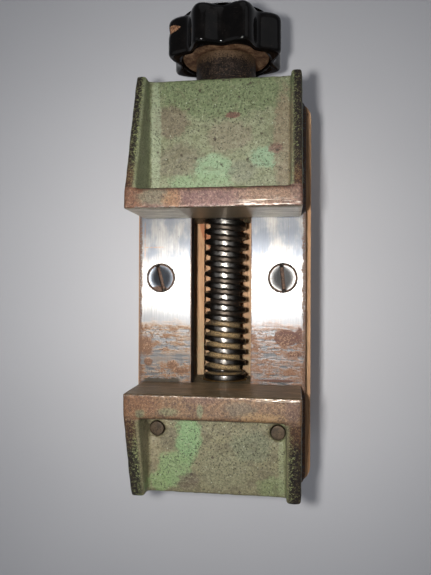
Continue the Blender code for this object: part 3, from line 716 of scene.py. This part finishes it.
def rounded(points, radii, steps=4, closed=True):
    """A polygon of (u, v) points whose corners become arcs of about the given radii."""
    out = []
    count = len(points)
    for i, (corner, radius) in enumerate(zip(points, radii)):
        here = Vector(corner)
        if radius == 0 or (not closed and i in (0, count - 1)):
            out.append(here)
            continue
        before = Vector(points[i - 1]) - here
        after = Vector(points[(i + 1) % count]) - here
        reach = min(radius, before.length * 0.49, after.length * 0.49)
        start = here + before.normalized() * reach
        end = here + after.normalized() * reach
        for k in range(steps + 1):
            t = k / steps
            out.append(start * (1 - t) ** 2 + here * 2 * t * (1 - t) + end * t**2)
    return out


def ring_faces(bm, low, high):
    count = len(low)
    for i in range(count):
        j = (i + 1) % count
        bm.faces.new((low[i], low[j], high[j], high[i]))


def turned(profile, axis, centre, steps, closed=False, radius_at=None):
    """(along, radius) points turned about an axis; radius_at may vary the radius by angle."""
    bm = bmesh.new()
    rings = []
    for along, radius in profile:
        ring = []
        for i in range(steps):
            angle = TURN * i / steps
            r = radius_at(along, radius, angle) if radius_at else radius
            first = centre[0] + r * math.cos(angle)
            second = centre[1] + r * math.sin(angle)
            ring.append(bm.verts.new(point(axis, along, first, second)))
        rings.append(ring)
    for low, high in zip(rings, rings[1:]):
        ring_faces(bm, low, high)
    if closed:
        ring_faces(bm, rings[-1], rings[0])
    else:
        bm.faces.new(rings[0])
        bm.faces.new(rings[-1])
    return bm


def cad_shape(node):
    """The CAD node's own shape with its triangles merged back into whole faces."""
    bm = bmesh.new()
    bm.from_mesh(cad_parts[node].data)
    bmesh.ops.remove_doubles(bm, verts=bm.verts, dist=1e-6)
    bmesh.ops.dissolve_limit(bm, angle_limit=math.radians(1), verts=bm.verts, edges=bm.edges)
    return bm


def soften_edges(bm, width, angle, segments):
    """Round every edge that turns by more than the angle, in degrees."""
    least = math.radians(angle)
    sharp = [e for e in bm.edges if len(e.link_faces) == 2 and e.calc_face_angle(0) >= least]
    bmesh.ops.bevel(
        bm, geom=sharp, offset=width * MM, segments=segments, profile=0.5, affect="EDGES",
        clamp_overlap=True,
    )
    return bm


def keep_flats(thing):
    """Let the large faces keep their own normals, so that only the rounded edges shade."""
    modifier = thing.modifiers.new("Flats", "WEIGHTED_NORMAL")
    modifier.keep_sharp = True
    return thing


def link(thing):
    bpy.context.scene.collection.objects.link(thing)
    return thing


def baked(thing):
    """The mesh that an object's modifiers or curve settings make."""
    graph = bpy.context.evaluated_depsgraph_get()
    return bpy.data.meshes.new_from_object(thing.evaluated_get(graph))


def as_object(name, mesh_or_bm, smooth=35):
    """An object with smooth shading except over edges sharper than smooth, in degrees."""
    if isinstance(mesh_or_bm, bmesh.types.BMesh):
        bmesh.ops.recalc_face_normals(mesh_or_bm, faces=mesh_or_bm.faces)
        mesh = bpy.data.meshes.new(name)
        mesh_or_bm.to_mesh(mesh)
        mesh_or_bm.free()
    else:
        mesh = mesh_or_bm
    mesh.shade_smooth()
    mesh.set_sharp_from_angle(angle=math.radians(smooth))
    return link(bpy.data.objects.new(name, mesh))


def subtract(target, tool):
    modifier = target.modifiers.new("Cut", "BOOLEAN")
    modifier.object = tool
    modifier.operation = "DIFFERENCE"
    modifier.solver = "EXACT"
    cut = baked(target)
    target.modifiers.clear()
    target.data = cut
    bpy.data.objects.remove(tool)


def install(thing, material, body, slot, *nodes):
    thing.data.materials.clear()
    thing.data.materials.append(material)
    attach(thing, body)
    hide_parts(*nodes)


# ---- the bed ----


def make_wood():
    bm = soften_edges(cad_shape("wooden_body"), width=0.5, angle=40, segments=3)
    install(keep_flats(as_object("beech_block", bm, 30)), wood(), "bed", "body_wood", "wooden_body")


def make_plate(side_name, side):
    node = f"guide_plate_{side_name}"
    bm = soften_edges(cad_shape(node), width=0.28, angle=40, segments=2)
    name = f"ground_plate_{side_name}"
    install(keep_flats(as_object(name, bm, 30)), plate(side), "bed", "ground_steel", node)


# How far each slot is turned from Y, in degrees.
SLOT_TURNS = {
    "rear_left": 40,
    "rear_right": -65,
    "middle_left": 15,
    "middle_right": 6,
    "front_left": -20,
    "front_right": 75,
}


def slot_cutter(centre, top, reach, slot_turn):
    """A bar as wide as the slot, lying through the head's middle."""
    section = rounded([(-0.65, 1.0), (-0.65, -1.4), (0.65, -1.4), (0.65, 1.0)], (0, 0.25, 0.25, 0))
    angle = math.radians(slot_turn)
    turn = np.array([[math.cos(angle), -math.sin(angle)], [math.sin(angle), math.cos(angle)]])
    bm = bmesh.new()
    rings = []
    for end in (-reach, reach):
        ring = []
        for across, up in section:
            flat = turn @ np.array((across, end))
            place = Vector((centre.x + flat[0], centre.y + flat[1], top + up)) * MM
            ring.append(bm.verts.new(place))
        rings.append(ring)
    ring_faces(bm, *rings)
    bm.faces.new(rings[0])
    bm.faces.new(rings[1])
    return as_object("slot", bm)


def make_wood_screw(where, slot_turn):
    node = f"plate_screw_{where}"
    low, high = box_mm(node)
    centre = (low + high) / 2
    head = (high.x - low.x) / 2
    top = high.z
    outline = [(top, TINY), (top, head), (top - 0.3, head), (top - 2.9, 2.6)]
    outline += [(low.z + 3.0, 2.5), (low.z, 0.5)]
    profile = rounded(outline, (0, 0.3, 0.1, 0.4, 0.4, 0), closed=False)
    screw = as_object(f"slotted_screw_{where}", turned(profile, "Z", centre.xy, 72))
    subtract(screw, slot_cutter(centre, top, head + 1, slot_turn))
    bright = (112, 118, 126) if centre.x < 0 else (150, 149, 147)
    metal = screw_metal(f"screw_head_{where}", bright, centre)
    install(keep_flats(screw), metal, "bed", "screw_steel", node)


# ---- the jaws ----


def remeshed(bm):
    """The shape as an even mesh of quads."""
    bmesh.ops.triangulate(bm, faces=bm.faces)
    raw = as_object("raw", bm)
    modifier = raw.modifiers.new("Remesh", "REMESH")
    modifier.mode = "VOXEL"
    modifier.voxel_size = JAW_VOXEL * MM
    mesh = baked(raw)
    bpy.data.objects.remove(raw)
    return mesh


def table(items, name, width, kind):
    """One property of every item, a row each."""
    flat = np.empty(len(items) * width, kind)
    items.foreach_get(name, flat)
    return flat.reshape(-1, width)


class Cast:
    """A dense mesh as arrays, in millimetres, for smoothing and for casting marks."""

    def __init__(self, mesh, box):
        self.mesh = mesh
        self.box = [np.array(corner) for corner in box]
        self.co = table(mesh.vertices, "co", 3, np.float32).astype(float) / MM
        self.edges = table(mesh.edges, "vertices", 2, np.int32)
        self.degree = np.bincount(self.edges.ravel(), minlength=len(self.co))[:, None]

    def neighbours(self, co):
        count = len(co)
        a, b = self.edges[:, 0], self.edges[:, 1]
        total = np.empty_like(co)
        for k in range(3):
            total[:, k] = np.bincount(a, co[b, k], count) + np.bincount(b, co[a, k], count)
        return total / self.degree

    def smooth(self, weight, rounds):
        for _ in range(rounds):
            self.co = self.co + weight[:, None] * (self.neighbours(self.co) - self.co)

    def write(self):
        low, high = self.box
        self.co = np.clip(self.co, low, high)
        self.mesh.vertices.foreach_set("co", (self.co * MM).astype(np.float32).ravel())
        self.mesh.update()

    def normals(self):
        self.write()
        return table(self.mesh.vertex_normals, "vector", 3, np.float32).astype(float)

    def bend(self, rounds=7):
        """How far further smoothing would push each point out (+, hollows) or in (-, edges)."""
        co = self.co
        for _ in range(rounds):
            co = co + 0.5 * (self.neighbours(co) - co)
        return ((co - self.co) * self.normals()).sum(1)

    def store(self, name, values):
        attribute = self.mesh.attributes.new(name, "FLOAT", "POINT")
        attribute.data.foreach_set("value", values.astype(np.float32))


def ramp(values, start, end):
    share = np.clip((values - start) / (end - start), 0, 1)
    return share * share * (3 - 2 * share)


def lumps(co, size, seed):
    shift = Vector((seed * 11.3, seed * 4.7, seed * 8.9))
    return np.array([noise.noise(Vector(p) / size + shift) for p in co])


def round_casting(cast, jaw, x, depth, above, behind):
    """Soft corners on the casting, crisper ones on the rail and none on the foot."""
    crisp = 0.05 + 0.13 * ramp(depth, 0.8, jaw["rail"] - 1.0)
    weight = np.where(behind > 0, crisp + (0.5 - crisp) * behind, crisp)
    weight = 0.05 + (weight - 0.05) * above
    cast.smooth(weight, 14)
    length = depth.max()
    rib_from = JAW_HALF - jaw["rib"]
    tips = ramp(depth, length - 4.0, length - 2.5) * above
    tips = tips * ramp(np.abs(x), rib_from - 0.6, rib_from + 0.4)
    cast.smooth(0.5 * tips, 10)


def dent_casting(cast, z, depth, above, behind):
    """Low lumps all over the casting, then nicks along the rail's front edge."""
    normal = cast.normals()
    rough = above * ramp(depth, 0.4, 1.6)
    rough = rough * (0.35 + 0.65 * behind)
    dents = 0.10 * (lumps(cast.co, 3.2, 1) - 0.5) + 0.07 * (lumps(cast.co, 1.3, 2) - 0.5)
    cast.co = cast.co + normal * (dents * rough)[:, None]
    bend = cast.bend()
    lip = ramp(-bend, 0.05, 0.14) * ramp(depth, 2.0, 0.2) * ramp(z, JAW_TOP - 3.0, JAW_TOP - 0.5)
    nicks = np.clip(lumps(cast.co, 1.7, 3), 0, 1) * 0.5
    cast.co = cast.co - normal * (nicks * lip)[:, None]
    cast.write()
    cast.store("edge", ramp(-bend, 0.02, 0.2))
    cast.store("hollow", ramp(bend, 0.02, 0.2))


def make_jaw(jaw, name, marks):
    cast = Cast(remeshed(cad_shape(jaw["node"])), box_mm(jaw["node"]))
    x, y, z = cast.co.T
    depth = (y - jaw["face"]) * jaw["back"]
    above = ramp(z, BED_TOP - 0.5, BED_TOP + 2.5)
    behind = ramp(depth, jaw["rail"] - 1.2, jaw["rail"] + 0.6)
    round_casting(cast, jaw, x, depth, above, behind)
    dent_casting(cast, z, depth, above, behind)
    thing = as_object(name, cast.mesh, 60)
    body = "moving_jaw" if jaw is MOVING else "bed"
    install(thing, jaw_paint(jaw, marks), body, "green_paint", jaw["node"])


def make_jaw_screw(side_name, material):
    node = f"fixed_jaw_screw_{side_name}"
    low, high = box_mm(node)
    centre = (low + high) / 2
    head = (high.x - low.x) / 2
    outline = [(high.z, TINY), (high.z, 2.45), (low.z + 2.5, 2.45), (low.z + 0.3, head), (low.z, head)]
    outline += [(low.z, 1.3), (low.z + 1.6, 1.25), (low.z + 1.6, TINY)]
    profile = rounded(outline, (0, 0.35, 0.2, 0.1, 0.1, 0.15, 0.1, 0), closed=False)
    screw = as_object(f"jaw_screw_{side_name}", turned(profile, "Z", centre.xy, 48))
    install(keep_flats(screw), material, "bed", "dark_steel", node)


# ---- the spindle and what turns with it ----


def limit(value):
    return min(1.0, max(0.0, value))


def thread_height(along, angle):
    """0 in the root and 1 on the crest of the left-hand thread."""
    turn = (angle - TURN / 4) / TURN
    place = (along - FIXED_FACE - THREAD_PHASE - PITCH * turn) / PITCH
    from_crest = abs(place - math.floor(place) - 0.5) * PITCH
    flank = limit((from_crest - CREST_FLAT_HALF) / FLANK_RUN)
    height = 1 - flank * flank * (3 - 2 * flank)
    return height * min(limit((along - THREAD_LOW) / 1.2), limit((THREAD_HIGH - along) / 2.0))


def spindle_radius(along, radius, angle):
    if THREAD_LOW <= along <= THREAD_HIGH:
        return ROOT_R + (CREST_R - ROOT_R) * thread_height(along, angle)
    return radius


def make_spindle():
    """Plain journals at both ends and the thread between, as rings of varying radius."""
    tail = SPINDLE_LOW.y
    nose = SPINDLE_HIGH.y
    shoulder = FIXED_FACE - 0.3
    plain = [(tail, TINY), (tail, TAIL_R), (TAIL_STEP_Y, TAIL_R), (TAIL_STEP_Y, JOURNAL_R)]
    plain += [(shoulder, JOURNAL_R), (shoulder, CREST_R)]
    plain += [(THREAD_LOW - 0.4, CREST_R), (THREAD_LOW - TINY, ROOT_R)]
    profile = rounded(plain, (0, 1.0, 0.1, 0.1, 0.1, 0.35, 0.35, 0), closed=False)
    steps = round((THREAD_HIGH - THREAD_LOW) / 0.26)
    for i in range(steps + 1):
        profile.append((THREAD_LOW + (THREAD_HIGH - THREAD_LOW) * i / steps, ROOT_R))
    ends = [(THREAD_HIGH + TINY, ROOT_R), (KNOB_LOW.y, ROOT_R), (KNOB_LOW.y, NOSE_R)]
    ends += [(nose, NOSE_R), (nose, TINY)]
    profile += rounded(ends, (0, 0.2, 0.2, 1.0, 0), closed=False)
    bm = turned(profile, "Y", (0, AXIS_Z), 72, radius_at=spindle_radius)
    install(as_object("oiled_spindle", bm, 50), spindle_metal(), "spindle", "spindle_steel", "spindle")


def make_ring(name, node, body, slot, material, outline, radii, steps=96, radius_at=None):
    profile = rounded(outline, radii)
    bm = turned(profile, "Y", (0, AXIS_Z), steps, closed=True, radius_at=radius_at)
    install(keep_flats(as_object(name, bm, 40)), material, body, slot, node)


def make_hub(material):
    low, high = HUB_LOW.y, HUB_HIGH.y
    radius = HUB_HIGH.x
    bore = JOURNAL_R + 0.05
    outline = [(low, bore), (low, radius), (low + 2.6, radius), (low + 2.8, radius - 0.35)]
    outline += [(low + 3.6, radius - 0.35), (low + 3.8, radius), (high, radius), (high, bore)]
    radii = (0.3, 0.6, 0.1, 0.1, 0.1, 0.1, 0.4, 0.3)
    make_ring("turned_hub", "hub_sleeve", "spindle", "dark_steel", material, outline, radii)
    low, high = box_mm("hub_pin")
    centre = ((low.y + high.y) / 2, AXIS_Z)
    ends = [(low.x, TINY), (low.x, 1.5), (high.x, 1.5), (high.x, TINY)]
    profile = rounded(ends, (0, 0.4, 0.4, 0), closed=False)
    pin = as_object("drive_pin", turned(profile, "X", centre, 32))
    install(pin, material, "spindle", "dark_steel", "hub_pin")


def make_knob_ring(material):
    """A pressed-in bush whose wide flange fills the knob's recess."""
    low, high = RING_LOW.y, RING_HIGH.y
    radius = RING_HIGH.x
    bore = NOSE_R + 0.25
    neck = KNOB_BORE - 0.3
    outline = [(low, bore), (low, radius), (low + 2.0, radius)]
    outline += [(low + 2.0, neck), (high, neck), (high, bore)]
    radii = (0.3, 0.7, 0.3, 0.2, 0.3, 0.2)
    make_ring("flanged_ring", "knob_bush", "spindle", "rusty_steel", material, outline, radii)


def knob_radius(along, radius, angle):
    """Lobes fade in from the recess and the bore, which stay round."""
    wave = 0.5 + 0.5 * math.cos(KNOB_LOBES * (angle - math.radians(KNOB_LOBE_TURN)))
    return radius - KNOB_FLUTE * (1 - wave) ** 0.85 * limit((radius - 17.6) / 2.4)


def make_knob():
    face, end = KNOB_LOW.y, KNOB_HIGH.y
    outline = [(face + 3.7, KNOB_BORE), (face + 3.7, 16.8), (face + 0.5, 16.9), (face, 18.2)]
    outline += [(face, KNOB_R), (end - 0.4, KNOB_R), (end, 12.0), (end, KNOB_BORE)]
    radii = (0.3, 0.4, 0.8, 0.5, 1.8, 3.4, 2.5, 0.8)
    profile = []
    smooth = rounded(outline, radii, steps=6)
    for a, b in zip(smooth, smooth[1:] + smooth[:1]):
        pieces = max(1, math.ceil((b - a).length / 1.5))
        for k in range(pieces):
            profile.append(a + (b - a) * (k / pieces))
    bm = turned(profile, "Y", (0, AXIS_Z), 192, closed=True, radius_at=knob_radius)
    for vert in bm.verts:
        x, y, z = vert.co / MM
        off = math.hypot((y - CHIP_Y) / 1.9, (z - AXIS_Z - CHIP_RISE) / 2.6)
        if x < -14 and off < 1:
            dent = 0.8 * (1 - off * off) * (0.7 + noise.noise(Vector((x, y, z)) * 1.3))
            inward = Vector((-x, 0, AXIS_Z - z)).normalized()
            vert.co += inward * dent * MM
    install(as_object("star_grip", bm, 60), knob_black(), "spindle", "bakelite", "star_knob")


def make_hex_nut(name, node, bore, flats, material):
    """A hexagon whose corners are chamfered at both faces."""
    low, high = box_mm(node)
    corner = flats / math.sqrt(3)

    def hexagonal(along, radius, angle):
        if radius < bore + 0.6:
            return radius
        turn = angle % (TURN / 6) - TURN / 12
        flat = flats / 2 / math.cos(turn)
        return min(radius, flat)

    edge = flats / 2 - 0.3
    outline = [(low.y, bore), (low.y, edge), (low.y + 0.9, corner)]
    outline += [(high.y - 0.9, corner), (high.y, edge), (high.y, bore)]
    radii = (0.4, 0.2, 0, 0, 0.2, 0.4)
    make_ring(name, node, "spindle", "dark_steel", material, outline, radii, 144, hexagonal)


def make_split_pin(material):
    """Two half-round legs bent apart at one end, with the eye at the other."""
    low, high = box_mm("split_pin")
    y = (low.y + high.y) / 2
    eye = low.x + 1.9
    reach = high.x - 1.3
    curve = bpy.data.curves.new("split_pin_wire", "CURVE")
    curve.dimensions = "3D"
    curve.bevel_depth = 0.42 * MM
    curve.bevel_resolution = 4
    curve.use_fill_caps = True
    route = [(reach + 0.7, 1.5), (reach + 0.1, 0.75), (reach - 0.9, 0.45), (eye + 1.2, 0.45)]
    for k in range(9):
        angle = math.radians(150 - 37.5 * k)
        route.append((eye - 0.4 - 1.0 * math.cos(angle + TURN / 2), 1.05 * math.sin(angle)))
    route += [(eye + 1.2, -0.45), (reach - 0.9, -0.45), (reach + 0.1, -0.75), (reach + 0.7, -1.5)]
    spline = curve.splines.new("NURBS")
    spline.points.add(len(route) - 1)
    for knot, (x, off) in zip(spline.points, route):
        knot.co = (x * MM, (y + off) * MM, AXIS_Z * MM, 1)
    spline.use_endpoint_u = True
    spline.order_u = 3
    wire = link(bpy.data.objects.new("wire", curve))
    mesh = baked(wire)
    bpy.data.objects.remove(wire)
    install(as_object("bent_split_pin", mesh, 60), material, "spindle", "screw_steel", "split_pin")


def make_retainers(dark, bright):
    low, high = box_mm("thrust_washer")
    tail_bore = TAIL_R + 0.25
    outline = [(low.y, tail_bore), (low.y, high.x), (high.y, high.x), (high.y, tail_bore)]
    radii = (0.25, 0.4, 0.4, 0.25)
    make_ring("turned_washer", "thrust_washer", "spindle", "screw_steel", bright, outline, radii)
    make_hex_nut("castle_nut", "retaining_nut", bore=tail_bore, flats=16.0, material=dark)
    make_hex_nut("nose_nut", "knob_nut", bore=NOSE_R + 0.25, flats=13.0, material=dark)
    make_split_pin(bright)


def make_bronze_pieces(metal):
    low, high = box_mm("bearing_bush")
    bore, shell, flange = 6.2, 8.3, 9.8
    outline = [(high.y, bore), (high.y, shell), (low.y + 2.0, shell)]
    outline += [(low.y + 2.0, flange), (low.y, flange), (low.y, bore)]
    radii = (0.4, 0.2, 0.2, 0.3, 0.4, 0.4)
    make_ring("flanged_bush", "bearing_bush", "bed", "bronze", metal, outline, radii)
    bm = soften_edges(cad_shape("spindle_nut"), width=0.3, angle=30, segments=2)
    nut = as_object("bronze_nut", bm, 35)
    install(keep_flats(nut), metal, "moving_jaw", "bronze", "spindle_nut")


def make_nut_screw(side_name, material):
    node = f"nut_screw_{side_name}"
    low, high = box_mm(node)
    centre = ((low.x + high.x) / 2, AXIS_Z)
    head = (high.x - low.x) / 2
    outline = [(low.y, TINY), (low.y, 1.7), (high.y - 2.0, 1.7), (high.y - 2.0, head)]
    outline += [(high.y, head), (high.y, 1.3), (high.y - 1.2, 1.3), (high.y - 1.2, TINY)]
    profile = rounded(outline, (0, 0.3, 0.1, 0.15, 0.6, 0.1, 0.1, 0), closed=False)
    screw = as_object(f"cap_screw_{side_name}", turned(profile, "Y", centre, 48))
    install(screw, material, "moving_jaw", "dark_steel", node)


# ---- camera, light and floor ----


def make_camera():
    data = bpy.data.cameras.new("camera")
    data.lens = 34.0
    data.sensor_width = 36.0
    camera = link(bpy.data.objects.new("camera", data))
    camera.location = (0.0239, 0.0007, 0.2570)
    camera.rotation_euler = (0.005, 0.133, 0.004)
    bpy.context.scene.camera = camera


def make_light(name, place, aim, width, power, colour, spread=180):
    data = bpy.data.lights.new(name, "AREA")
    data.shape = "DISK"
    data.size = width
    data.energy = power
    data.color = colour
    data.spread = math.radians(spread)
    light = link(bpy.data.objects.new(name, data))
    light.location = place
    direction = Vector(aim) - Vector(place)
    light.rotation_euler = direction.to_track_quat("-Z", "Y").to_euler()


def make_lights():
    """A small lamp beside the camera, with weak wide lights all round."""
    warm, cool = (1.0, 0.985, 0.96), (0.95, 0.97, 1.0)
    make_light("key", (0.005, 0.002, 0.262), (-0.018, 0.002, 0), 0.012, KEY_POWER, warm, spread=92)
    sides = {"left": (-1.2, -0.3), "right": (1.2, 0.5), "back": (0.2, 1.3), "front": (-0.2, -1.3)}
    for name, (x, y) in sides.items():
        make_light(f"{name}_soft", (x, y, 1.0), (0, 0, 0.04), 1.4, SOFT_POWER, cool)
    world = bpy.data.worlds.new("studio")
    bpy.context.scene.world = world
    world.use_nodes = True
    background = world.node_tree.nodes["Background"]
    background.inputs["Color"].default_value = (0.86, 0.9, 1.0, 1)
    background.inputs["Strength"].default_value = SKY_POWER


def make_floor():
    bm = bmesh.new()
    half, drop = 1.5, 0.00005
    corners = [(-half, -half), (half, -half), (half, half), (-half, half)]
    bm.faces.new([bm.verts.new((x, y, -drop)) for x, y in corners])
    floor = as_object("floor", bm)
    floor.data.materials.append(floor_paint())


def main():
    make_camera()
    make_lights()
    make_floor()
    bpy.context.scene.view_settings.view_transform = "Standard"
    make_wood()
    dark = dark_steel("dark_hub", ((30, 26, 24), (50, 42, 38), (88, 66, 52)), 0.5)
    discs = dark_steel("rusty_discs", ((62, 52, 40), (86, 72, 56), (112, 90, 66)), 0.5)
    hub = dark_steel("dark_hub_end", ((30, 26, 24), (50, 42, 38), (88, 66, 52)), 0.5, 83.5)
    tan = dark_steel("tan_rust", ((124, 90, 66), (176, 138, 106), (206, 170, 134)), 0.8)
    bright = dark_steel("dull_steel", ((120, 116, 110), (160, 156, 150), (110, 84, 62)), 0.45)
    metal = bronze()
    for side_name, side in {"left": -1, "right": 1}.items():
        make_plate(side_name, side)
        make_jaw_screw(side_name, discs)
        make_nut_screw(side_name, dark)
    for where, slot_turn in SLOT_TURNS.items():
        make_wood_screw(where, slot_turn)
    make_jaw(FIXED, "painted_fixed_jaw", FIXED_MARKS)
    make_jaw(MOVING, "painted_moving_jaw", MOVING_MARKS)
    make_bronze_pieces(metal)
    make_spindle()
    make_hub(hub)
    make_knob_ring(tan)
    make_knob()
    make_retainers(dark, bright)


main()
